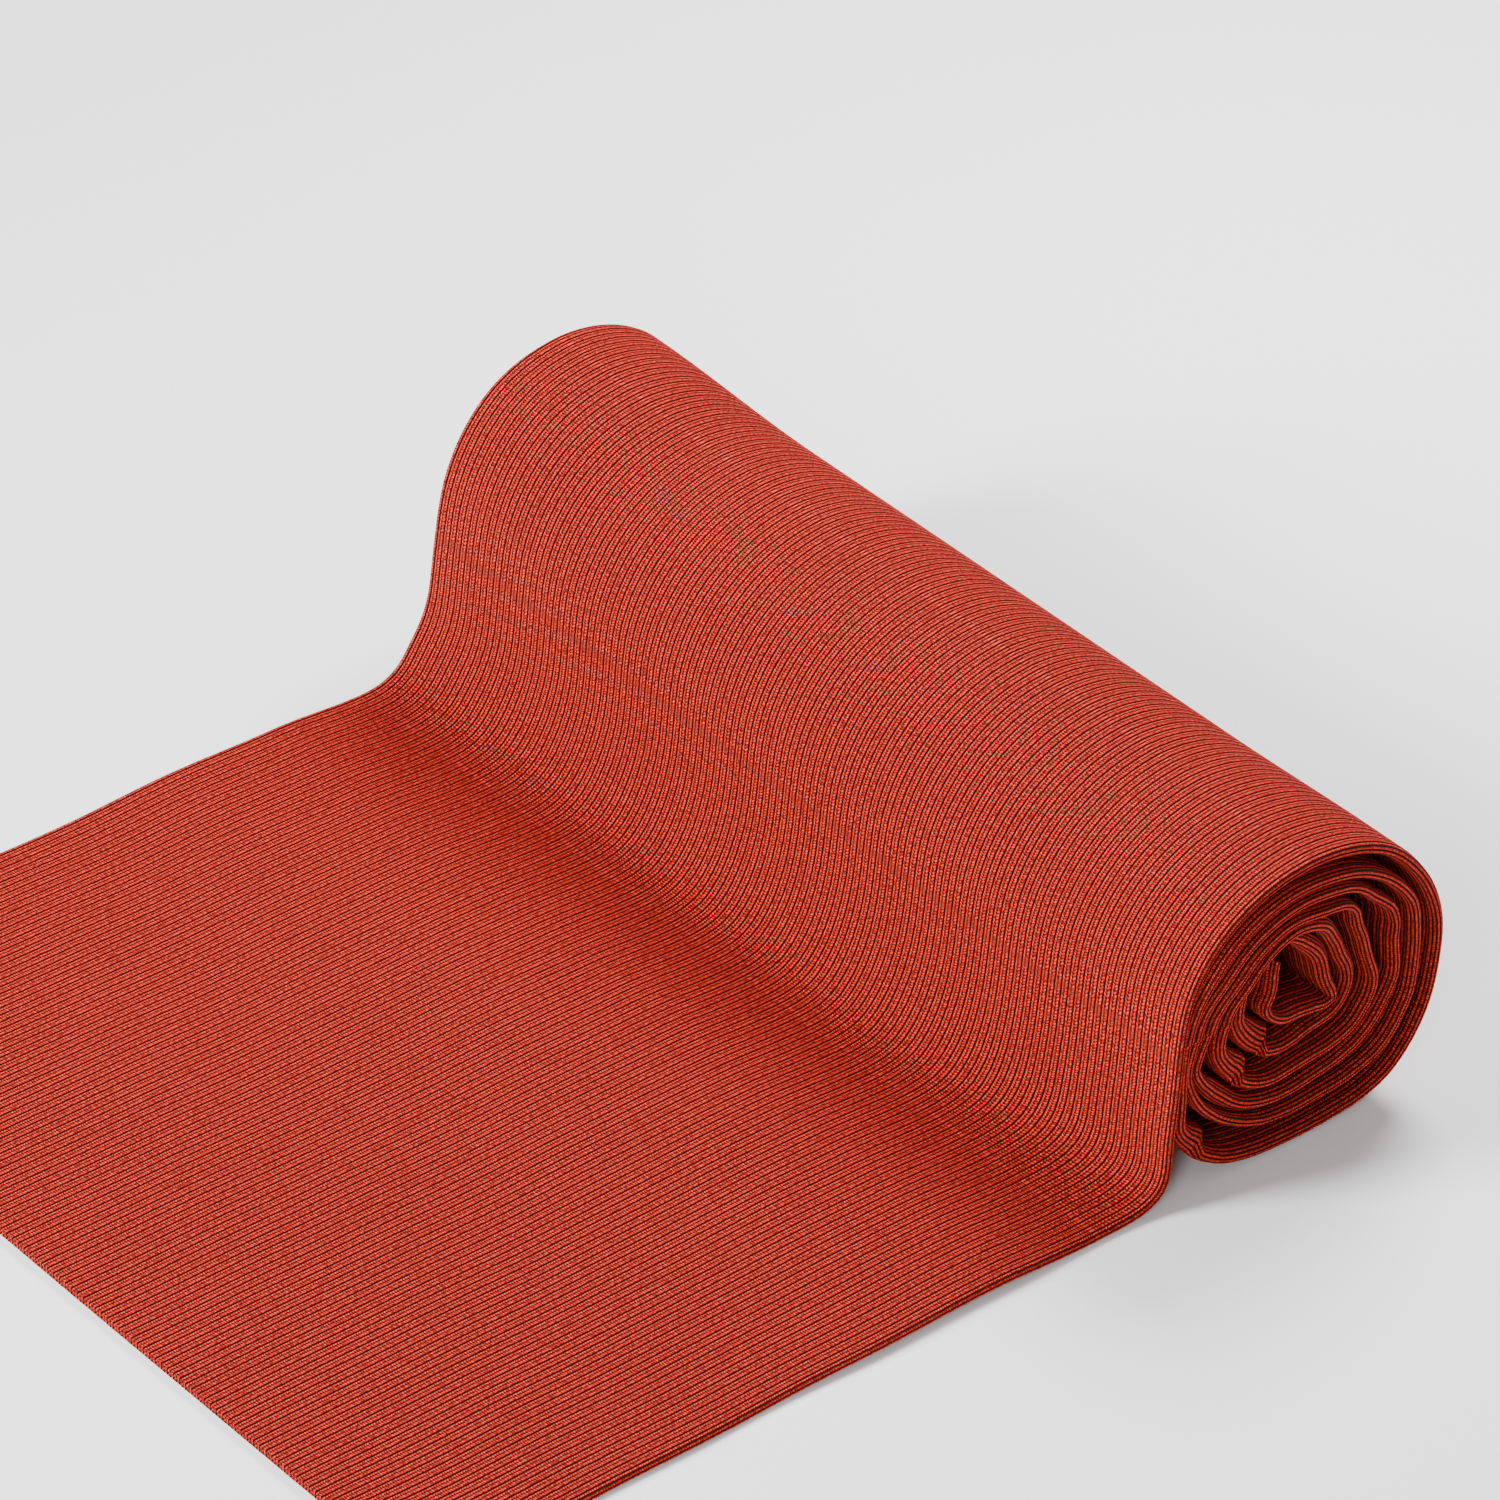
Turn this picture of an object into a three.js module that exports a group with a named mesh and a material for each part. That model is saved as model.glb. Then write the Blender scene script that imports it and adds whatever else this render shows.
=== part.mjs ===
// A coreless roll of tubular rib-knit cloth, wound flat, with its last stretch drawn off over the top.
// The cloth comes down the front of the roll and lies along the table to its cut end.
// X runs along the laid cloth (the cut end is at -X), Y along the roll, Z up from the table.
// The origin is on the table, straight under the roll's axis.

import * as THREE from 'three';

// Driving dimensions, millimetres and degrees.
const clothWidth = 350;        // lay-flat width of the tubular cloth, along the roll
const clothThickness = 2.8;    // the two plies of the flattened tube, pressed together
const lapClearance = 0.3;      // air between neighbouring laps and stretches

const lapCount = 6;            // laps from the eye to the place where the cloth leaves the roll
const rollRadius = 52;         // outside of the last lap, half a turn before it leaves
const eyeRadius = 11;          // hollow left in the middle of the coreless roll
const eyeOffsetX = -9;         // the eye has wandered towards the front ...
const eyeOffsetZ = 11.5;       // ... and upwards, so the laps lie tight there and loose below
const lapTightening = 0.25;    // first laps this much looser than the mean, last ones as much tighter
const restSink = 1;            // depth to which the roll is pressed flat on the table

const dropLean = 7;            // the hanging cloth leans out from vertical
const footRadius = 18;         // top of the cloth, where it bends on to the table
const footRun = 6;             // flat cloth past the bend that stays with the drop
const slackRun = 60;           // stretch that gives when the cloth is drawn off
const laidRun = 90;            // stretch that slides along the table
const endStripRun = 50;        // each of the two stretches that curl up at the cut end
const endStripCount = 2;

const lapSteps = 35;           // facets in one lap; an odd number lays one facet under the axis
const footSteps = 8;           // facets in the bend at the foot

const clothRed = 0xd2452f;
const clothRoughness = 0.92;

const fullTurn = 2 * Math.PI;
const leftSide = Math.PI;      // the inner end, and the place where the cloth leaves, are both at -X
const half = 0.5;
const topOfRoll = 0.25;        // the last lap ends this part of a turn before the cloth leaves

// How far the winding has grown after a number of turns: 0 at the eye, 1 at the roll radius.
function growth(turns) {
  const share = turns / (lapCount + half);
  return share * (1 + lapTightening * (1 - share));
}

// Height of the roll's axis that leaves its lowest point restSink under the table.
function axisHeight() {
  const bottom = growth(lapCount + topOfRoll);
  const radius = eyeRadius + (rollRadius - eyeRadius) * bottom;
  return radius - eyeOffsetZ * (1 - bottom) - restSink;
}

const rollAxisZ = axisHeight();

// The face between two laps, after a number of turns from the inner end, moved in by a clearance.
function lapFace(turns, inset) {
  const grown = growth(turns);
  const radius = eyeRadius + (rollRadius - eyeRadius) * grown - inset;
  const angle = leftSide + fullTurn * turns;
  const x = eyeOffsetX * (1 - grown) + radius * Math.cos(angle);
  const z = rollAxisZ + eyeOffsetZ * (1 - grown) + radius * Math.sin(angle);
  return new THREE.Vector2(x, Math.max(z, 0));
}

// Outline of a band between an inner and an outer face, both from the first turn to the last.
function bandOutline(innerPoints, outerPoints) {
  return new THREE.Shape([...innerPoints, ...outerPoints.slice().reverse()]);
}

// Outline of the cloth on the roll between two places, counted in turns from its inner end.
function windingOutline(firstTurn, lastTurn) {
  const endGap = lapClearance / (fullTurn * lapFace(lastTurn, 0).distanceTo(
    new THREE.Vector2(0, rollAxisZ)));
  const steps = Math.round((lastTurn - firstTurn) * lapSteps);
  const inner = [];
  const outer = [];
  for (let step = 0; step <= steps; step += 1) {
    const turns = firstTurn + (lastTurn - endGap - firstTurn) * (step / steps);
    inner.push(lapFace(turns, 0));
    outer.push(lapFace(turns + 1, lapClearance));
  }
  return bandOutline(inner, outer);
}

// The drop: down from the roll with a slight lean, then round the foot and on to the table.
function dropOutline() {
  const lean = THREE.MathUtils.degToRad(dropLean);
  const start = lapFace(lapCount + 1, lapClearance);
  start.x = Math.min(start.x, lapFace(lapCount, 0).x - clothThickness);
  const arcDrop = footRadius * (1 - Math.sin(lean));
  const straightDrop = start.y - clothThickness - arcDrop;
  const bendTop = new THREE.Vector2(start.x - straightDrop * Math.tan(lean), start.y - straightDrop);
  const bendCentre = new THREE.Vector2(bendTop.x - footRadius * Math.cos(lean),
    bendTop.y + footRadius * Math.sin(lean));
  const across = new THREE.Vector2(Math.cos(lean), -Math.sin(lean)).multiplyScalar(clothThickness);
  const top = [start];
  const under = [start.clone().add(across)];
  for (let step = 0; step <= footSteps; step += 1) {
    const angle = -lean - (Math.PI / 2 - lean) * (step / footSteps);
    const outward = new THREE.Vector2(Math.cos(angle), Math.sin(angle));
    top.push(bendCentre.clone().addScaledVector(outward, footRadius));
    under.push(bendCentre.clone().addScaledVector(outward, footRadius + clothThickness));
  }
  const footEnd = bendCentre.x - footRun;
  top.push(new THREE.Vector2(footEnd, clothThickness));
  under.push(new THREE.Vector2(footEnd, 0));
  return { outline: bandOutline(top, under), footEnd };
}

// A stretch of cloth flat on the table, from one X back towards the cut end.
function flatOutline(from, run) {
  const end = from - run + lapClearance;
  return new THREE.Shape([
    new THREE.Vector2(end, 0), new THREE.Vector2(from, 0),
    new THREE.Vector2(from, clothThickness), new THREE.Vector2(end, clothThickness),
  ]);
}

// One stretch of cloth, over the whole width of the roll.
function stretch(name, outline) {
  const geometry = new THREE.ExtrudeGeometry(outline, { depth: clothWidth, bevelEnabled: false });
  geometry.rotateX(Math.PI / 2);
  geometry.translate(0, clothWidth / 2, 0);
  const material = new THREE.MeshStandardMaterial({
    color: clothRed, roughness: clothRoughness, metalness: 0,
  });
  const mesh = new THREE.Mesh(geometry, material);
  mesh.name = name;
  return mesh;
}

// The roll, lap by lap from the eye; the last lap stops on top, where the drawn-off cloth begins.
function roll() {
  const laps = new THREE.Group();
  for (let lap = 1; lap < lapCount; lap += 1) {
    laps.add(stretch(`lap_${lap}`, windingOutline(lap - 1, lap)));
  }
  laps.add(stretch(`lap_${lapCount}`, windingOutline(lapCount - 1, lapCount - topOfRoll)));
  return laps;
}

// The cloth that has left the roll: over the front, down, along the table, to the cut end.
function drawnOffCloth() {
  const cloth = new THREE.Group();
  cloth.add(stretch('front_over', windingOutline(lapCount - topOfRoll, lapCount)));
  const drop = dropOutline();
  cloth.add(stretch('drop', drop.outline));
  let from = drop.footEnd - lapClearance;
  cloth.add(stretch('slack', flatOutline(from, slackRun)));
  from -= slackRun;
  cloth.add(stretch('laid', flatOutline(from, laidRun)));
  from -= laidRun;
  for (let strip = 1; strip <= endStripCount; strip += 1) {
    cloth.add(stretch(`end_strip_${strip}`, flatOutline(from, endStripRun)));
    from -= endStripRun;
  }
  return cloth;
}

const bolt = new THREE.Group();
bolt.add(roll(), drawnOffCloth());

export default bolt;
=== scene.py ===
"""A bolt of rib knit cuff tubing: a loose coreless roll with the free end laid out on the table."""
import math

import bmesh
import bpy
import numpy as np
from mathutils import Matrix, Vector


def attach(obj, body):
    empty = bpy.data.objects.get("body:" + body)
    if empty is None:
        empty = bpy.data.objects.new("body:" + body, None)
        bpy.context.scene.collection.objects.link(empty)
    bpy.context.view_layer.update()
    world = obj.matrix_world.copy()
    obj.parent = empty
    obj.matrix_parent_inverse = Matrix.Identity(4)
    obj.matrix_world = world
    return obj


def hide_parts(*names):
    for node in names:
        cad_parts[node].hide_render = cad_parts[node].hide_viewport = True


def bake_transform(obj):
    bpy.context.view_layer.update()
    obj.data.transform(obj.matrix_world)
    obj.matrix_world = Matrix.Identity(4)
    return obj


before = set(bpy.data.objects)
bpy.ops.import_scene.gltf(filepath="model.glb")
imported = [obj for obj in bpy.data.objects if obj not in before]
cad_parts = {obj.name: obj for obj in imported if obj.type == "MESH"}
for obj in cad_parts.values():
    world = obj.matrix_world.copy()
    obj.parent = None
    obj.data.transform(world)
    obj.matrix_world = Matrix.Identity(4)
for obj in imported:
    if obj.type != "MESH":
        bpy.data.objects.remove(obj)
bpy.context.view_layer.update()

# ---------------------------------------------------------------- sizes, in millimetres

MM = 0.001
CLOTH_WIDTH = 350.0          # the tube pressed flat
HALF_WIDTH = CLOTH_WIDTH / 2
RIBS_ROUND = 244             # ribs right round the tube
RIB_PITCH = 2 * CLOTH_WIDTH / RIBS_ROUND
GROOVE_DEPTH = 0.42          # between two ribs
GROOVE_REACH = 0.17          # how far a groove's side runs, as a share of a rib
RIB_STEPS = (0, 0.08, 0.34, 0.66, 0.92)     # where the mesh has columns in each rib
PLAIN_STEP = 4               # out of sight, one column for so many ribs
RIBS_AT_FOLD = 13            # ribs modelled each side of a fold
PLY = 1.25                   # one wall of the tube
PRESSED = 2.8                # both walls, pressed together
LAP_THICKNESS = 3.0          # and a little looser in the roll
COURSE_HEIGHT = 0.86         # one course of stitches, along a rib
FOLD_ROUND = 3.4             # most that a folded edge bulges sideways

# the winding, as the frame has it
LAPS = 6
ROLL_RADIUS = 52.0
EYE_RADIUS = 11.0            # of the hollow in the middle
EYE_X, EYE_Z = -9.0, 11.5    # the hollow's middle, from the roll's axis
TIGHTENING = 0.25            # how much closer the outer laps lie
SINK = 1.0                   # how far the roll's weight flattens it
LAP_GAP = 0.3                # between neighbouring laps
TOP_OF_ROLL = 0.25           # a quarter of a turn before the front

SLUMP_X, SLUMP_Z = -6.0, 58.0               # the roll's ends have slumped round this point
FLAP_START = -0.15           # the inner cut end, in turns from the first lap's start
FLAP_RADIUS = 18.0           # of the winding there
# for each lap: degrees round from the front, outside radius, thickness of the folded edge
LAP_ENDS = [
    [(-54, 20, 3), (-45, 17.5, 3), (-35, 15.2, 3.4), (-24, 13.8, 3.8), (-12, 13.6, 3.8), (0, 14.4, 3.6),
     (15, 14.2, 3.4), (30, 13.2, 3.4), (60, 12.2, 4.5), (90, 11.5, 5), (105, 12, 4.5), (120, 14, 4.2),
     (135, 18, 4), (147, 19.8, 3.6), (158, 18, 4.2), (170, 15.4, 5), (180, 14.4, 5.4), (195, 14, 5.6),
     (210, 14.4, 5.8), (240, 16.2, 6), (255, 17.8, 5.8), (270, 20.4, 4.8), (285, 23.4, 3.4),
     (300, 25, 2.8), (315, 25.6, 2.6), (340, 25.4, 3)],
    [(0, 25.2, 4), (10, 24.9, 6.2), (20, 24.4, 8), (35, 23.8, 9.2), (50, 23.7, 10), (56, 23.7, 10),
     (59.5, 23.4, 4.6), (75, 22.2, 4.2), (90, 20.6, 3.6), (105, 19.6, 3.2), (120, 21, 3.2),
     (135, 24, 3.6), (150, 25, 3.7), (165, 24.5, 3.8), (180, 23, 4.8), (195, 21.2, 5.4), (210, 21, 5.4),
     (225, 21.4, 5.2), (240, 23, 5.2), (255, 25.2, 5.2), (270, 27, 4.8), (285, 28, 3.2),
     (300, 28.4, 2.8), (320, 28.8, 2.8), (345, 29.4, 3)],
    [(0, 30, 3), (8, 31.4, 3.2), (20, 33, 4.8), (30, 33.4, 7.2), (42, 33.8, 9.4), (46.5, 34, 9.3),
     (50, 34.2, 4.6), (60, 34, 4.5), (75, 33, 4.2), (90, 31.2, 4), (105, 31.2, 3.7), (120, 34, 4),
     (135, 37, 4.2), (145, 38, 5), (155, 37.6, 4.8), (165, 35.2, 4), (172, 32.6, 3.8), (180, 30.4, 3.7),
     (195, 29, 4), (210, 28.8, 4), (222, 30, 3), (240, 30.6, 2.8), (255, 30.6, 2.7), (270, 31.2, 3),
     (285, 33, 3.4), (300, 34, 3.8), (320, 35.2, 4.8), (335, 35.8, 5), (348, 35.9, 3.6)],
    [(0, 36.6, 3), (8, 39.2, 3.4), (17, 42.2, 3), (25, 42.2, 3.8), (35, 42, 5.8), (45, 41.6, 6.2),
     (60, 41, 4.6), (75, 40.2, 4.2), (90, 39.6, 4), (105, 39.6, 3.8), (120, 42, 4), (135, 44.6, 4.2),
     (150, 45, 4.2), (165, 44.8, 4.2), (172, 43, 4), (180, 41.2, 3.4), (190, 41.4, 3), (200, 41, 3.6),
     (210, 38.8, 4), (217, 37.2, 3.5), (225, 36.6, 3.2), (240, 36.2, 3), (260, 36.2, 3),
     (280, 37, 2.8), (295, 37.8, 2.8), (310, 38.8, 3), (330, 40, 3.2), (345, 41, 3.2)],
    [(0, 41.6, 3.2), (17, 45.6, 2.8), (30, 46.2, 3.2), (45, 46.3, 3.8), (60, 46.2, 3.8), (75, 46.2, 3.4),
     (90, 46.4, 3.6), (105, 47.6, 3.8), (120, 51.5, 4), (135, 55.6, 4.4), (147, 55.4, 4.4),
     (156, 54.4, 4.2), (165, 52, 3.8), (180, 50, 4), (195, 48.6, 3.6), (210, 45.6, 4), (225, 42.8, 3.8),
     (240, 41.2, 3.5), (260, 40.4, 3.4), (280, 41, 3.4), (300, 42.2, 3.4), (320, 43.4, 3.4),
     (340, 44.2, 3)],
    [(0, 44.7, 2.8), (15, 46.9, 2.8), (28, 51, 3), (36, 56, 5.5), (42, 57.6, 7.6), (47, 58.4, 9.4),
     (49, 58.7, 9.4), (52.5, 59, 4.9), (65, 59, 4.7), (75, 58, 4.6), (90, 57.2, 4.4), (100, 58.2, 4.4),
     (110, 60.4, 4.4), (120, 63.8, 4.4), (130, 66.2, 4.2), (140, 66, 4), (150, 64.8, 4), (165, 61.6, 4),
     (180, 59, 3.8), (195, 56, 4.2), (210, 53, 4.2), (225, 51, 4.2), (240, 49, 4.2), (255, 47.4, 4),
     (270, 46.6, 3.8), (290, 46.6, 3.4), (310, 47.2, 3), (330, 47.7, 2.8), (345, 47.7, 2.8),
     (360, 47.6, 2.8)],
]
OUTSTAND = [0.0, 3.6, 4.2, 3.6, 2.0, 0.0]   # how far each lap's near and far folds stand out at the top
PLEAT_PLACES = [1 + 58 / 360, 2 + 48 / 360, 5 + 51 / 360]    # in turns from the eye
SLUMP_AT_Y, SLUMP_RUN = 95, 62              # where the slump sets in, and over what length
MIDDLE_SLUMP, NEAR_SLUMP, FAR_SLUMP = 0.42, 0.58, 0.2        # in the middle, and added at each end
LAP_RUN = 61.0               # shifts the stitches from one lap to the next
LAID_RUN = 60.0              # and those of the laid cloth

# the fall from the roll to the table, top face: tight at the near end, easy at the far end
NEAR_FALL = [(-53.6, 48.8), (-54.4, 36), (-54.8, 25), (-55, 16), (-56.3, 10), (-59.4, 5.8), (-64.5, 3.6),
             (-72, 2.9), (-81.2, 2.8)]
MIDDLE_FALL = [(-53.6, 48.8), (-54.6, 37), (-56.6, 26.6), (-59.6, 18), (-63, 11.8), (-67, 7), (-71, 4.4),
               (-76, 3.1), (-81.2, 2.8)]
FAR_FALL = [(-53.4, 48.8), (-54, 37), (-55.6, 28), (-58.4, 20), (-61.4, 13.8), (-65, 8.8), (-69.6, 5),
            (-75, 3.2), (-81.2, 2.8)]

FALL_END = -81.226           # where the fall gives way to the slack stretch
LAID_SEAM = -231.226         # where the first end strip starts
STRIP_SEAM = -281.226        # where the second one starts
CUT_END = -331.0             # the cut end of the cloth
SEAM_GAP = 0.02              # between neighbouring pieces of the laid cloth
ROWS_INSET = 1e-5            # the same round the roll, in turns, each side of a seam
LAP_HAIR, FALL_HAIR, LAID_HAIR = 0.0003, 0.0006, 0.06        # first and last row of a piece, very narrow
LAP_ROW, LAST_LAP_ROW = 1.6, 2.7            # length of cloth between rows


def smooth(x):
    x = np.clip(x, 0, 1)
    return x * x * (3 - 2 * x)


def curve_through(x, knots, values):
    """A smooth curve through given values, one slope per knot."""
    knots, values = np.asarray(knots, float), np.asarray(values, float)
    slopes = np.gradient(values, knots)
    x = np.clip(x, knots[0], knots[-1])
    i = np.clip(np.searchsorted(knots, x, side="right") - 1, 0, len(knots) - 2)
    span = knots[i + 1] - knots[i]
    t = (x - knots[i]) / span
    t2, t3 = t * t, t * t * t
    return ((2 * t3 - 3 * t2 + 1) * values[i] + (t3 - 2 * t2 + t) * span * slopes[i]
            + (3 * t2 - 2 * t3) * values[i + 1] + (t3 - t2) * span * slopes[i + 1])


def wander(a, b, seed):
    """A slow, even, repeatable wobble between about -1 and 1."""
    return (np.sin(a + seed) * 0.45 + np.sin(a * 2.3 + b * 1.7 + seed * 2.1) * 0.3
            + np.sin(b * 2.9 - a * 0.7 + seed * 3.7) * 0.25)


# ---------------------------------------------------------------- the path of the cloth

def growth(turns):
    share = turns / (LAPS + 0.5)
    return share * (1 + TIGHTENING * (1 - share))


BOTTOM_GROWTH = growth(LAPS + TOP_OF_ROLL)
AXIS_Z = EYE_RADIUS + (ROLL_RADIUS - EYE_RADIUS) * BOTTOM_GROWTH - EYE_Z * (1 - BOTTOM_GROWTH) - SINK

SLUMP_TURNS = np.array([lap + place[0] / 360 for lap, places in enumerate(LAP_ENDS) for place in places])
SLUMP_RADII = np.array([place[1] for places in LAP_ENDS for place in places])
SLUMP_EDGES = np.array([place[2] for places in LAP_ENDS for place in places])


def near_end(y):
    return smooth((-SLUMP_AT_Y - y) / SLUMP_RUN)


def far_end(y):
    return smooth((y - SLUMP_AT_Y) / SLUMP_RUN)


def wound(turns, y):
    """Outer face of the winding, turns round from the eye."""
    grown = growth(turns + 1)
    radius = EYE_RADIUS + (ROLL_RADIUS - EYE_RADIUS) * grown - LAP_GAP
    angle = math.pi * (1 + 2 * turns)
    round_x = EYE_X * (1 - grown) + radius * np.cos(angle)
    round_z = AXIS_Z + EYE_Z * (1 - grown) + radius * np.sin(angle)
    slumped = curve_through(turns, SLUMP_TURNS, SLUMP_RADII)
    slump_x = SLUMP_X + slumped * np.cos(angle)
    slump_z = SLUMP_Z + slumped * np.sin(angle)
    weight = MIDDLE_SLUMP + NEAR_SLUMP * near_end(y) + FAR_SLUMP * far_end(y)
    x = round_x + (slump_x - round_x) * weight
    z = round_z + (slump_z - round_z) * weight
    # the far end stands a little taller and tucks in at the front
    tall = smooth((y - 98) / 74)
    upper = smooth((z - 58) / 40)
    tucked = smooth((-18 - x) / 30) * smooth((z - 36) / 20)
    return x + 1.4 * tall * tucked, z + 3.4 * tall * upper


def fall(share, y):
    """Top face of the fall, from the roll's front (0) to the flat on the table (1)."""
    steps = np.linspace(0, 1, len(NEAR_FALL))
    near = smooth((-60 - y) / 115)
    far = smooth((y + 20) / 160)
    x = z = 0
    for weight, places in ((near, NEAR_FALL), (1 - near - far, MIDDLE_FALL), (far, FAR_FALL)):
        x = x + weight * curve_through(share, steps, [p[0] for p in places])
        z = z + weight * curve_through(share, steps, [p[1] for p in places])
    return x, z


def front_and_fall(station, y):
    """Stations 5.75 to 6 are turns of the roll, 6 to 7 the fall."""
    on_roll = wound(np.minimum(station, LAPS), y)
    falling = fall(station - LAPS, y)
    past = station > LAPS
    return np.where(past, falling[0], on_roll[0]), np.where(past, falling[1], on_roll[1])


def flat_out(station, y):
    """Cloth on the table: the station is the distance back from the roll's axis."""
    ripple = 0.32 * wander(station / 21, y / 37, 1.3) * smooth((station - 84) / 30)
    billow = 1.5 * smooth((station - 83) / 34) * smooth((228 - station) / 90)
    return -station, PRESSED + ripple + billow


# ---------------------------------------------------------------- the tube's section

def rib_columns(ribbed):
    """Arc lengths round the tube, from seam to seam, ribs only where ribbed(s) says."""
    places = []
    for rib in range(RIBS_ROUND):
        start = rib * RIB_PITCH - CLOTH_WIDTH
        if ribbed(start + RIB_PITCH / 2):
            places += [start + RIB_PITCH * f for f in RIB_STEPS]
        elif rib % PLAIN_STEP == 0:
            places.append(start)
    return np.array(places + [CLOTH_WIDTH])


def on_ribs(columns, ribbed):
    """Which columns lie on modelled ribs."""
    return np.array([ribbed(s - 1e-3) or ribbed(s + 1e-3) for s in columns])


def edge_wander(stations, lap):
    """How far a lap's folded edges wander out, mm."""
    return 0.7 * wander(stations * 5.0, stations * 2.0, lap * 1.9) + 0.7


def edge_ribs(count):
    """Ribs on both walls, count of them on each side of each fold."""
    reach = count * RIB_PITCH
    return lambda s: abs(abs(s) - HALF_WIDTH) < reach


def show_side(count):
    """Ribs over the whole outer wall, and count of them round under each fold."""
    reach = HALF_WIDTH + count * RIB_PITCH
    return lambda s: abs(s) < reach


def rib_relief(s, ribbed):
    phase = np.mod(s / RIB_PITCH, 1.0)
    from_groove = np.minimum(phase, 1 - phase)
    depth = GROOVE_DEPTH * np.clip(1 - from_groove / GROOVE_REACH, 0, 1) ** 1.3
    return -np.where(ribbed, depth, 0.25 * GROOVE_DEPTH)


def tube(path, stations, insets, columns, ribbed, middle, edge, smoothing=0, edge_wobble=None):
    """Points of a flattened tube: rows along the cloth, columns round it."""
    rows, cols = len(stations), len(columns)
    st = np.repeat(stations[:, None], cols, 1)
    inset = np.repeat(insets[:, None], cols, 1)
    s = np.repeat(columns[None, :], rows, 0)
    side = np.sign(s)
    h = np.repeat(edge[:, None], cols, 1)                # thickness at the folds
    a = h / 2
    b = np.minimum(a * 1.05, FOLD_ROUND)
    arc = math.pi * np.sqrt((a * a + b * b) / 2)
    fold_y = HALF_WIDTH - arc / 2
    round_fold = np.clip((np.abs(s) - fold_y) / arc, 0, 1) * math.pi
    over = np.abs(s) <= fold_y
    under = np.abs(s) >= fold_y + arc
    under_y = 2 * HALF_WIDTH - np.abs(s)
    y = side * np.where(over, np.abs(s), np.where(under, under_y, fold_y + b * np.sin(round_fold)))
    into = smooth((np.abs(y) - (HALF_WIDTH - 44)) / 38)
    depth_all = middle + (h - middle) * into
    depth = np.where(over, 0, np.where(under, depth_all, a * (1 - np.cos(round_fold))))
    if edge_wobble is not None:
        y = y + side * edge_wobble[:, None] * smooth((np.abs(y) - (HALF_WIDTH - 70)) / 60)

    step = 0.002 if stations[-1] < 20 else 0.5
    before, after = path(st - step, y), path(st + step, y)
    along_x, along_z = after[0] - before[0], after[1] - before[1]
    length = np.hypot(along_x, along_z) + 1e-9
    out_x, out_z = along_z / length, -along_x / length
    x, z = path(st, y)
    for _ in range(smoothing):
        for field in (x, z, out_x, out_z):
            field[1:-1] = (field[:-2] + 2 * field[1:-1] + field[2:]) / 4
    norm = np.hypot(out_x, out_z)
    out_x, out_z = out_x / norm, out_z / norm

    # the section's own outward direction: out of the cloth, round the fold, and back in
    loop_out = np.where(over, 1, np.where(under, -1, b * np.cos(round_fold)))
    loop_y = np.where(over | under, 0, a * np.sin(round_fold))
    loop = np.hypot(loop_out, loop_y)
    loop_out, loop_y = loop_out / loop, side * loop_y / loop
    relief = rib_relief(s, np.repeat(ribbed[None, :], rows, 0)) - inset
    away = relief * loop_out - depth
    x = x + out_x * away
    z = z + out_z * away
    y = y + loop_y * relief
    return x, y, np.maximum(z, 0.0)


def make_piece(name, points, columns, lengths, cut_start, cut_end):
    """Wraps a flat grid round the tube, closes its seam and its ends."""
    x, y, z = points
    rows, cols = x.shape
    bm = bmesh.new()
    bmesh.ops.create_grid(bm, x_segments=cols - 1, y_segments=rows - 1, size=1.0)
    mesh = bpy.data.meshes.new(name)
    bm.to_mesh(mesh)
    bm.free()
    flat = np.empty(len(mesh.vertices) * 3)
    mesh.vertices.foreach_get("co", flat)
    flat = flat.reshape(-1, 3)
    column = np.rint((flat[:, 0] + 1) / 2 * (cols - 1)).astype(int)
    row = np.rint((flat[:, 1] + 1) / 2 * (rows - 1)).astype(int)
    place = np.stack([x[row, column], y[row, column], z[row, column]], 1) * MM
    mesh.vertices.foreach_set("co", place.ravel())
    corner = np.empty(len(mesh.loops), dtype=np.int32)
    mesh.loops.foreach_get("vertex_index", corner)
    # the cloth's own map: ribs across, courses of stitches along
    cloth_map = mesh.uv_layers.new(name="cloth")
    pairs = np.stack([columns[column[corner]] / RIB_PITCH, lengths[row[corner]] / COURSE_HEIGHT], 1)
    cloth_map.data.foreach_set("uv", pairs.ravel())

    bm = bmesh.new()
    bm.from_mesh(mesh)
    bm.verts.ensure_lookup_table()
    seam = [bm.verts[i] for i in np.nonzero((column == 0) | (column == cols - 1))[0]]
    bmesh.ops.remove_doubles(bm, verts=seam, dist=1e-7)
    rims = [edge for edge in bm.edges if edge.is_boundary]
    for edge in rims:
        edge.smooth = False
    bmesh.ops.holes_fill(bm, edges=rims, sides=0)
    for face in bm.faces:
        face.smooth = True
    bmesh.ops.recalc_face_normals(bm, faces=bm.faces)
    if bm.calc_volume(signed=True) < 0:
        bmesh.ops.reverse_faces(bm, faces=bm.faces)
    bm.to_mesh(mesh)
    bm.free()
    piece = bpy.data.objects.new(name, mesh)
    bpy.context.scene.collection.objects.link(piece)
    return piece


def seam_rows(start, end, count, hair):
    """Even rows with a hair's breadth row at both ends, so neighbours meet in one smooth face."""
    inner = np.linspace(start, end, count)
    return np.concatenate([[start], [start + hair], inner[1:-1], [end - hair], [end]])


def with_cut(stations, lap_in, at_end):
    """Rows over a cut rim and back inside the tube."""
    turn_in = np.array([0.0, 0.35, 0.9, 1.0, 1.0, 1.0]) * PLY
    back = np.array([0.0, -0.2, 0.0, 0.6, 3.0, 9.0]) * lap_in
    if at_end:
        return (np.concatenate([stations, stations[-1] - back]),
                np.concatenate([np.zeros(len(stations)), turn_in]))
    return (np.concatenate([(stations[0] + back)[::-1], stations]),
            np.concatenate([turn_in[::-1], np.zeros(len(stations))]))


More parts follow.
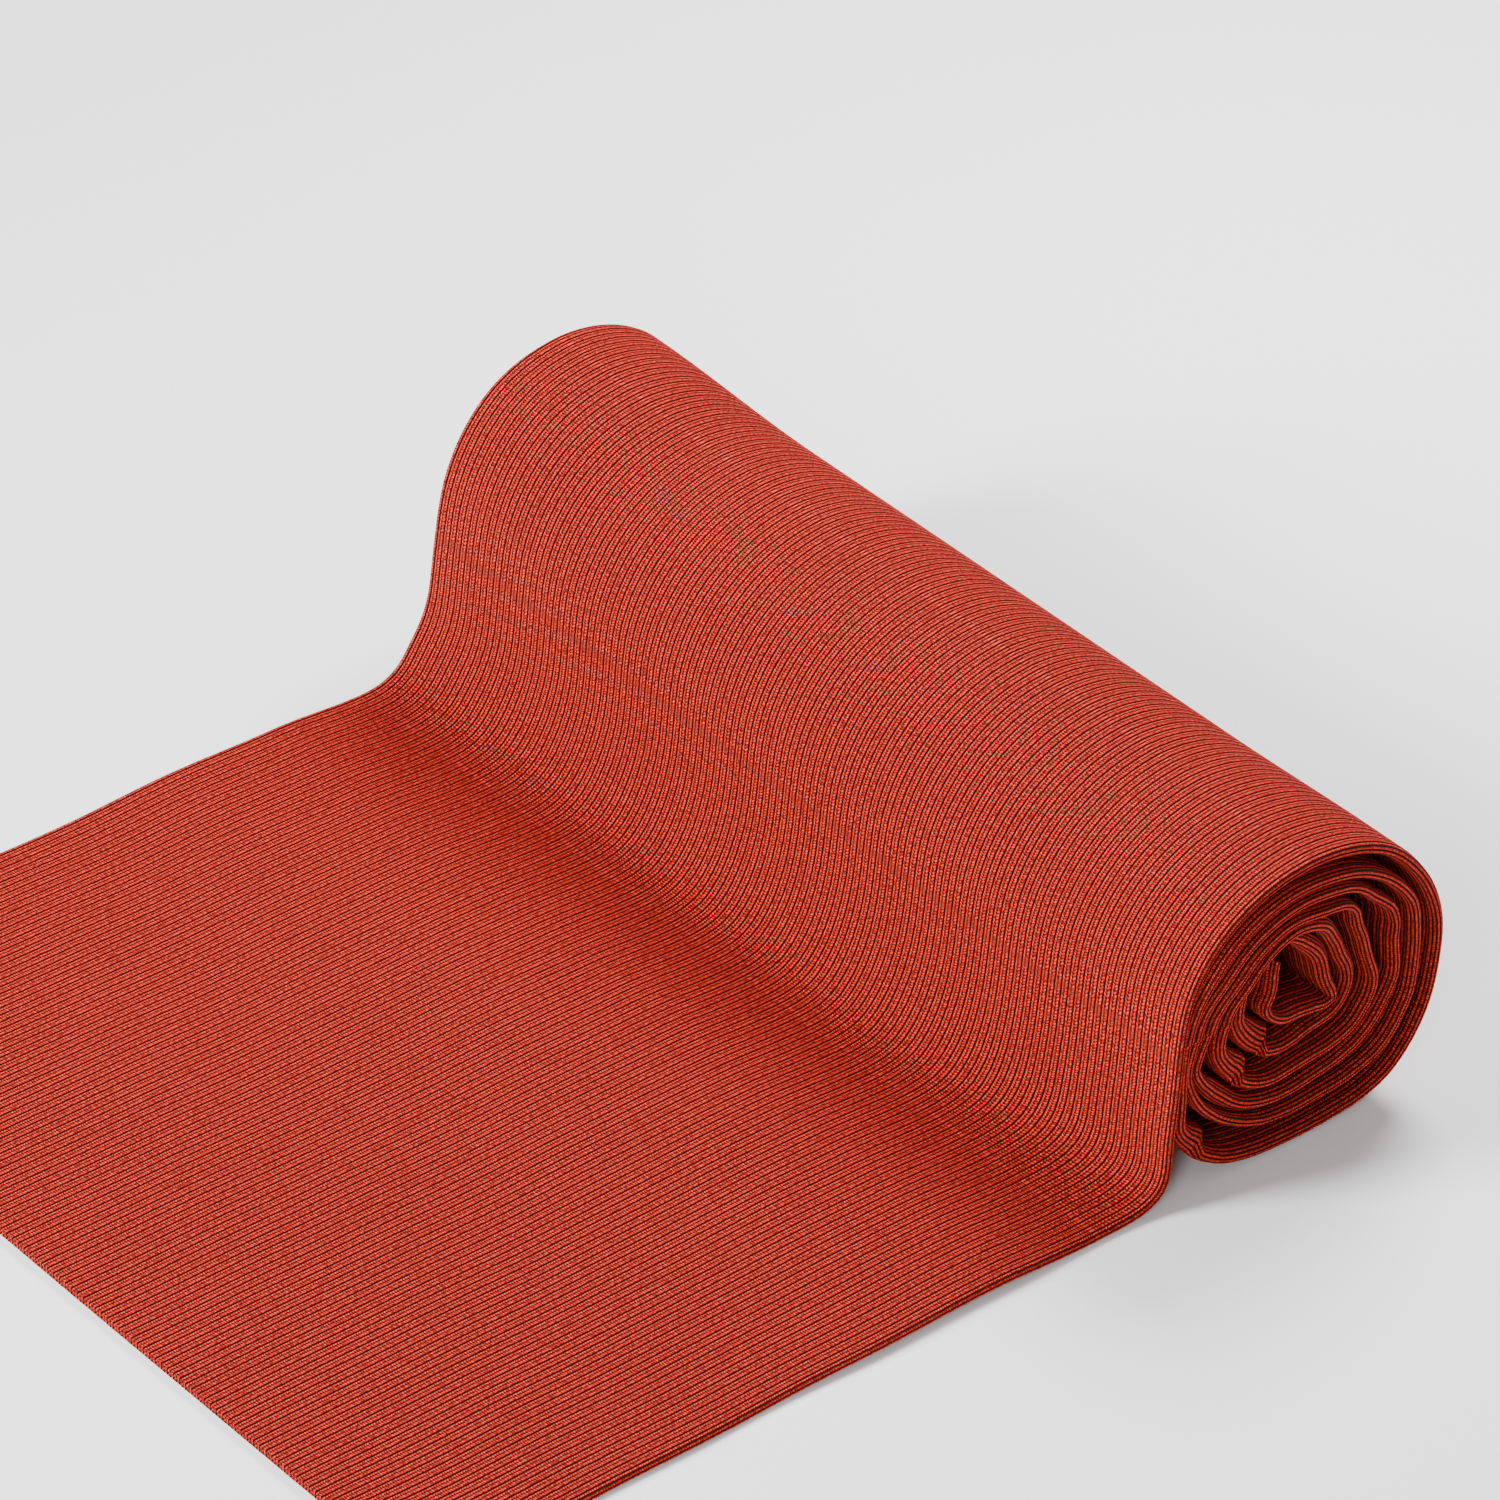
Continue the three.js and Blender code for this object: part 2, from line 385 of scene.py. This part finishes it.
def run_lengths(path, stations):
    x, z = path(stations, np.zeros_like(stations))
    return np.concatenate([[0], np.cumsum(np.hypot(np.diff(x), np.diff(z)))])


# ---------------------------------------------------------------- shader arithmetic

class Value:
    """A shader socket that ordinary arithmetic can be done on."""

    def __init__(self, tree, socket=None):
        self.tree, self.socket = tree, socket

    def node(self, kind, settings=None, inputs=None, output=0):
        made = self.tree.nodes.new(kind)
        for name, value in (settings or {}).items():
            setattr(made, name, value)
        for name, value in (inputs or {}).items():
            if isinstance(value, Value):
                self.tree.links.new(value.socket, made.inputs[name])
            else:
                made.inputs[name].default_value = value
        return Value(self.tree, made.outputs[output])

    def math(self, operation, first, second=None):
        given = [v for v in (first, second) if v is not None]
        return self.node("ShaderNodeMath", {"operation": operation}, dict(enumerate(given)))

    def __add__(self, other):
        return self.math("ADD", self, other)

    def __sub__(self, other):
        return self.math("SUBTRACT", self, other)

    def __rsub__(self, other):
        return self.math("SUBTRACT", other, self)

    def __mul__(self, other):
        return self.math("MULTIPLY", self, other)

    __radd__, __rmul__ = __add__, __mul__

    def fraction(self):
        return self.math("FRACT", self)

    def size(self):
        return self.math("ABSOLUTE", self)

    def rise(self, start, end):
        """0 below start, 1 above end, eased between."""
        return self.node("ShaderNodeMapRange", {"interpolation_type": "SMOOTHSTEP"},
                         {"Value": self, "From Min": start, "From Max": end})

    def noise(self, place, scale, detail=2.0, rough=0.5):
        return self.node("ShaderNodeTexNoise", {},
                         {"Vector": place, "Scale": scale, "Detail": detail, "Roughness": rough})

    def mixed(self, factor, first, second):
        return self.node("ShaderNodeMix", {"data_type": "RGBA", "blend_type": "MIX"},
                         {0: factor, 6: first, 7: second}, 2)


# a red yarn's colours: its own colour, paler yarn and painted highlight on the crowns of the loops, darker
# yarn and painted shade between them, and painted shade down in the grooves
LIT_YARN = (0.470, 0.0066, 0.0023, 1)
PALE_YARN_AND_HIGHLIGHT = (0.760, 0.056, 0.029, 1)
DEEP_YARN_AND_SHADE = (0.130, 0.0050, 0.0032, 1)
GROOVE_SHADE = (0.004, 0.0006, 0.0005, 1)
FOLD_AT_RIB, FOLD_FROM, FOLD_TO = 63.5, 1.2, 4.5     # ribs out from the middle where the folds bend most


def rib_knit():
    material = bpy.data.materials.new("rib_knit")
    material.use_nodes = True
    tree = material.node_tree
    shader = tree.nodes["Principled BSDF"]
    start = Value(tree)
    cloth = start.node("ShaderNodeUVMap", {"uv_map": "cloth"})
    across = start.node("ShaderNodeSeparateXYZ", {}, {0: cloth}, 0)
    along = start.node("ShaderNodeSeparateXYZ", {}, {0: cloth}, 1)
    place = start.node("ShaderNodeTexCoord", {}, {}, 3)
    uneven = start.noise(cloth, 0.9, 3.0)                    # yarn thick and thin
    patchy = start.noise(place, 38.0, 3.0)                   # slow change over the cloth
    fibres = start.noise(place, 5200.0, 2.0, 0.7)

    # one rib holds two wales; each wale is a chain of leaning loops
    in_rib = (across + (uneven - 0.5) * 0.10).fraction()
    off_middle = (in_rib - 0.5).size() * 2.0                 # 0 on the rib's middle, 1 in the groove
    groove = off_middle.rise(0.74, 0.84)
    gutter = 1 - off_middle.rise(0.18, 0.29)                 # between the two wales
    off_wale = (off_middle - 0.46).size() * 2.0              # 0 on a wale's middle
    lean = along + off_middle * 0.62 + (uneven - 0.5) * 0.5
    in_loop = (lean.fraction() - 0.5).size() * 2.0           # 0 mid loop, 1 between loops
    between = in_loop.rise(0.52, 0.98)
    near_fold = 1 - (across.size() - FOLD_AT_RIB).size().rise(FOLD_FROM, FOLD_TO)
    pinhole = 0.55 + 0.60 * in_loop.rise(0.30, 0.60) + near_fold
    # painted shade: a dark line down the rib's middle between the wales, darker still along the folds
    pin = gutter * pinhole.math("MINIMUM", pinhole, 1.0)     # down the rib's middle, a line at the folds
    crown = (1 - off_wale.rise(0.15, 0.95)) * (1 - in_loop.rise(0.2, 0.85))

    broken = groove * (0.85 + 0.40 * start.noise(cloth, 1.3, 2.0))
    yarn = start.mixed(patchy.rise(0.35, 0.68) * 0.10, LIT_YARN, DEEP_YARN_AND_SHADE)
    # painted highlight: the crowns of the loops are lighter, flecked by fibres
    yarn = start.mixed(crown * (0.10 + 0.80 * fibres.rise(0.38, 0.68)), yarn, PALE_YARN_AND_HIGHLIGHT)
    dashed = start.node("ShaderNodeVectorMath", {"operation": "MULTIPLY"}, {0: cloth, 1: (2.6, 0.8, 1.0)})
    dashes = start.noise(dashed, 1.1, 1.0)                   # lighter and darker stitches
    yarn = start.mixed(dashes.rise(0.52, 0.64) * 0.80, yarn, PALE_YARN_AND_HIGHLIGHT)
    yarn = start.mixed((1 - dashes.rise(0.34, 0.48)) * 0.75, yarn, DEEP_YARN_AND_SHADE)
    # painted shade between the loops
    yarn = start.mixed(between * 0.75, yarn, DEEP_YARN_AND_SHADE)
    # painted shade down the gutter between the wales and along the folds
    yarn = start.mixed(pin * 0.95, yarn, GROOVE_SHADE)
    # painted shade down in the grooves, broken here and there
    yarn = start.mixed(broken, yarn, GROOVE_SHADE)
    tree.links.new(yarn.socket, shader.inputs["Base Color"])

    height = ((1 - groove) * 0.50 + crown * 0.42 - between * 0.22 - pin * 0.4 + fibres * 0.16)
    bump = start.node("ShaderNodeBump", {}, {"Height": height, "Strength": 0.85, "Distance": 0.0005})
    tree.links.new(bump.socket, shader.inputs["Normal"])
    rough = 0.78 + 0.14 * uneven + groove * 0.06
    tree.links.new(rough.socket, shader.inputs["Roughness"])
    shader.inputs["Specular IOR Level"].default_value = 0.10
    shader.inputs["Sheen Weight"].default_value = 0.05
    shader.inputs["Sheen Roughness"].default_value = 0.40
    shader.inputs["Sheen Tint"].default_value = (1.0, 0.25, 0.16, 1)
    return material


KNIT = rib_knit()


# ---------------------------------------------------------------- the pieces

def finish_piece(piece, length, held, rests_on, *nodes):
    piece.data.materials.append(KNIT)
    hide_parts(*nodes)


def lap_piece(lap):
    start, end = lap - 1.0, float(lap)
    last = lap == LAPS
    if last:
        end -= TOP_OF_ROLL
    if lap == 1:
        start = FLAP_START
    middle_radius = np.mean([SLUMP_RADII[(SLUMP_TURNS >= start) & (SLUMP_TURNS <= end)].mean(),
                             EYE_RADIUS + (ROLL_RADIUS - EYE_RADIUS) * growth(end)])
    run = 2 * math.pi * middle_radius * (end - start)
    count = int(run / (LAST_LAP_ROW if last else LAP_ROW))
    stations = seam_rows(start + ROWS_INSET, end - ROWS_INSET, count, LAP_HAIR)
    for pleat in PLEAT_PLACES:
        if start < pleat < end:
            stations = np.union1d(stations, pleat + np.linspace(-3, 3, 9) / 360)
    if lap == 1:
        stations, insets = with_cut(stations, 1 / (2 * math.pi * FLAP_RADIUS), at_end=False)
    else:
        insets = np.zeros(len(stations))
    edge = np.interp(stations, SLUMP_TURNS, SLUMP_EDGES)
    ribbed = show_side(RIBS_AT_FOLD) if last else edge_ribs(RIBS_AT_FOLD)
    columns = rib_columns(ribbed)
    # towards the top the inner laps stand out a little further than the outer ones
    round_lap = np.mod(stations, 1.0)
    standing_out = smooth((round_lap - 0.60) / 0.14) * smooth((1.0 - round_lap) / 0.10) * (stations > 0)
    wobble = edge_wander(stations, lap) + OUTSTAND[lap - 1] * standing_out
    lengths = run_lengths(wound, stations) + LAP_RUN * lap
    points = tube(wound, stations, insets, columns, on_ribs(columns, ribbed), LAP_THICKNESS, edge,
                  edge_wobble=wobble)
    piece = make_piece("lap_%d_cloth" % lap, points, columns, lengths, lap == 1, False)
    below = "lap_%d_cloth" % (lap + 1) if not last else "floor"
    finish_piece(piece, lengths[-1] - lengths[0], "folded", [below], "lap_%d" % lap)
    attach(piece, "roll")


for number in range(1, LAPS + 1):
    lap_piece(number)

# front of the roll and the fall to the table, one piece of cloth
shown = show_side(RIBS_AT_FOLD)
shown_columns = rib_columns(shown)
shown_ribbed = on_ribs(shown_columns, shown)
stations = np.concatenate([seam_rows(LAPS - TOP_OF_ROLL + ROWS_INSET, LAPS, 38, LAP_HAIR)[:-2],
                           seam_rows(LAPS, LAPS + 1.0, 40, FALL_HAIR)[2:]])
edge = np.interp(stations, SLUMP_TURNS, SLUMP_EDGES)
wobble = edge_wander(stations, LAPS) * smooth((LAPS + 0.95 - stations) / 0.5)
points = tube(front_and_fall, stations, np.zeros(len(stations)), shown_columns, shown_ribbed, PRESSED, edge,
              smoothing=14, edge_wobble=wobble)
lengths = run_lengths(front_and_fall, stations)
front = make_piece("front_and_fall_cloth", points, shown_columns, lengths, False, False)
finish_piece(front, lengths[-1], "draped", ["lap_%d_cloth" % LAPS, "floor"], "front_over", "drop")
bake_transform(front)


def laid_piece(name, start, end, rows, nodes, cut=False):
    stations = seam_rows(-start + SEAM_GAP / 2, -end - SEAM_GAP / 2, rows, LAID_HAIR)
    insets = np.zeros(len(stations))
    if cut:
        stations, insets = with_cut(stations, 1.0, at_end=True)
    edge = PRESSED + 0.25 * wander(stations / 26, 0, 4.1) + 0.9 * smooth((stations - 322) / 10)
    wobble = 0.9 * wander(stations / 24, 0, 2.2) * smooth((stations - 84) / 25)
    points = tube(flat_out, stations, insets, shown_columns, shown_ribbed, PRESSED, edge,
                  edge_wobble=wobble)
    piece = make_piece(name, points, shown_columns, stations + LAID_RUN, False, cut)
    finish_piece(piece, start - end, "laid", ["floor"], *nodes)
    return piece


laid = laid_piece("slack_and_laid_cloth", FALL_END, LAID_SEAM, 40, ["slack", "laid"])
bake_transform(laid)
strip_1 = laid_piece("end_strip_1_cloth", LAID_SEAM, STRIP_SEAM, 17, ["end_strip_1"])
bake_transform(strip_1)
strip_2 = laid_piece("end_strip_2_cloth", STRIP_SEAM, CUT_END, 17, ["end_strip_2"], cut=True)
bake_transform(strip_2)


# ---------------------------------------------------------------- floor, light and camera

def plain_material(name, shade, roughness):
    material = bpy.data.materials.new(name)
    material.use_nodes = True
    shader = material.node_tree.nodes["Principled BSDF"]
    shader.inputs["Base Color"].default_value = shade
    shader.inputs["Roughness"].default_value = roughness
    return material


FLOOR_REACH = 6.0            # metres each way from the middle
FLOOR_DROP = 0.0002          # a hair below the cloth
AMBIENT = 0.44               # the studio's own light
bm = bmesh.new()
bmesh.ops.create_grid(bm, x_segments=1, y_segments=1, size=FLOOR_REACH)
floor_mesh = bpy.data.meshes.new("floor")
bm.to_mesh(floor_mesh)
bm.free()
floor_mesh.transform(Matrix.Translation((0, 0, -FLOOR_DROP)))
floor = bpy.data.objects.new("floor", floor_mesh)
bpy.context.scene.collection.objects.link(floor)
floor_mesh.materials.append(plain_material("pale_floor", (0.9, 0.9, 0.9, 1), 0.9))

world = bpy.data.worlds.new("studio")
bpy.context.scene.world = world
world.use_nodes = True
background = world.node_tree.nodes["Background"]
background.inputs["Color"].default_value = (1, 1, 1, 1)
background.inputs["Strength"].default_value = AMBIENT


def lamp(name, place, target, size, power):
    data = bpy.data.lights.new(name, "AREA")
    data.shape, data.size, data.energy = "DISK", size, power
    light = bpy.data.objects.new(name, data)
    bpy.context.scene.collection.objects.link(light)
    light.location = place
    light.rotation_euler = (Vector(target) - Vector(place)).to_track_quat("-Z", "Y").to_euler()


lamp("key", (-1.45, 0.50, 0.85), (-0.05, -0.02, 0.03), 0.6, 71)
lamp("top", (0.50, 0.20, 0.75), (0.02, 0.0, 0.1), 0.45, 16)
lamp("fill", (-1.25, -1.05, 0.95), (-0.02, -0.15, 0.06), 0.5, 13)

CAMERA_PLACE = (-1.45747, -1.57459, 1.55063)
CAMERA_LENS, CAMERA_SENSOR, CAMERA_SIGHT = 205.6, 36.0, 50.0
CAMERA_TURN, CAMERA_RISE, CAMERA_ROLL = (math.radians(a) for a in (41.384, 35.140, 2.360))
ground_right = Vector((math.cos(CAMERA_TURN), -math.sin(CAMERA_TURN), 0))
ground_ahead = Vector((math.sin(CAMERA_TURN), math.cos(CAMERA_TURN), 0))
upright = Vector((0, 0, 1))
back = -ground_ahead * math.cos(CAMERA_RISE) + upright * math.sin(CAMERA_RISE)
up = ground_ahead * math.sin(CAMERA_RISE) + upright * math.cos(CAMERA_RISE)
camera_x = ground_right * math.cos(CAMERA_ROLL) + up * math.sin(CAMERA_ROLL)
camera_y = -ground_right * math.sin(CAMERA_ROLL) + up * math.cos(CAMERA_ROLL)
camera_data = bpy.data.cameras.new("camera")
camera_data.lens, camera_data.sensor_width, camera_data.clip_end = CAMERA_LENS, CAMERA_SENSOR, CAMERA_SIGHT
camera = bpy.data.objects.new("camera", camera_data)
bpy.context.scene.collection.objects.link(camera)
turned = Matrix((camera_x, camera_y, back)).transposed().to_4x4()
camera.matrix_world = Matrix.Translation(CAMERA_PLACE) @ turned
bpy.context.scene.camera = camera
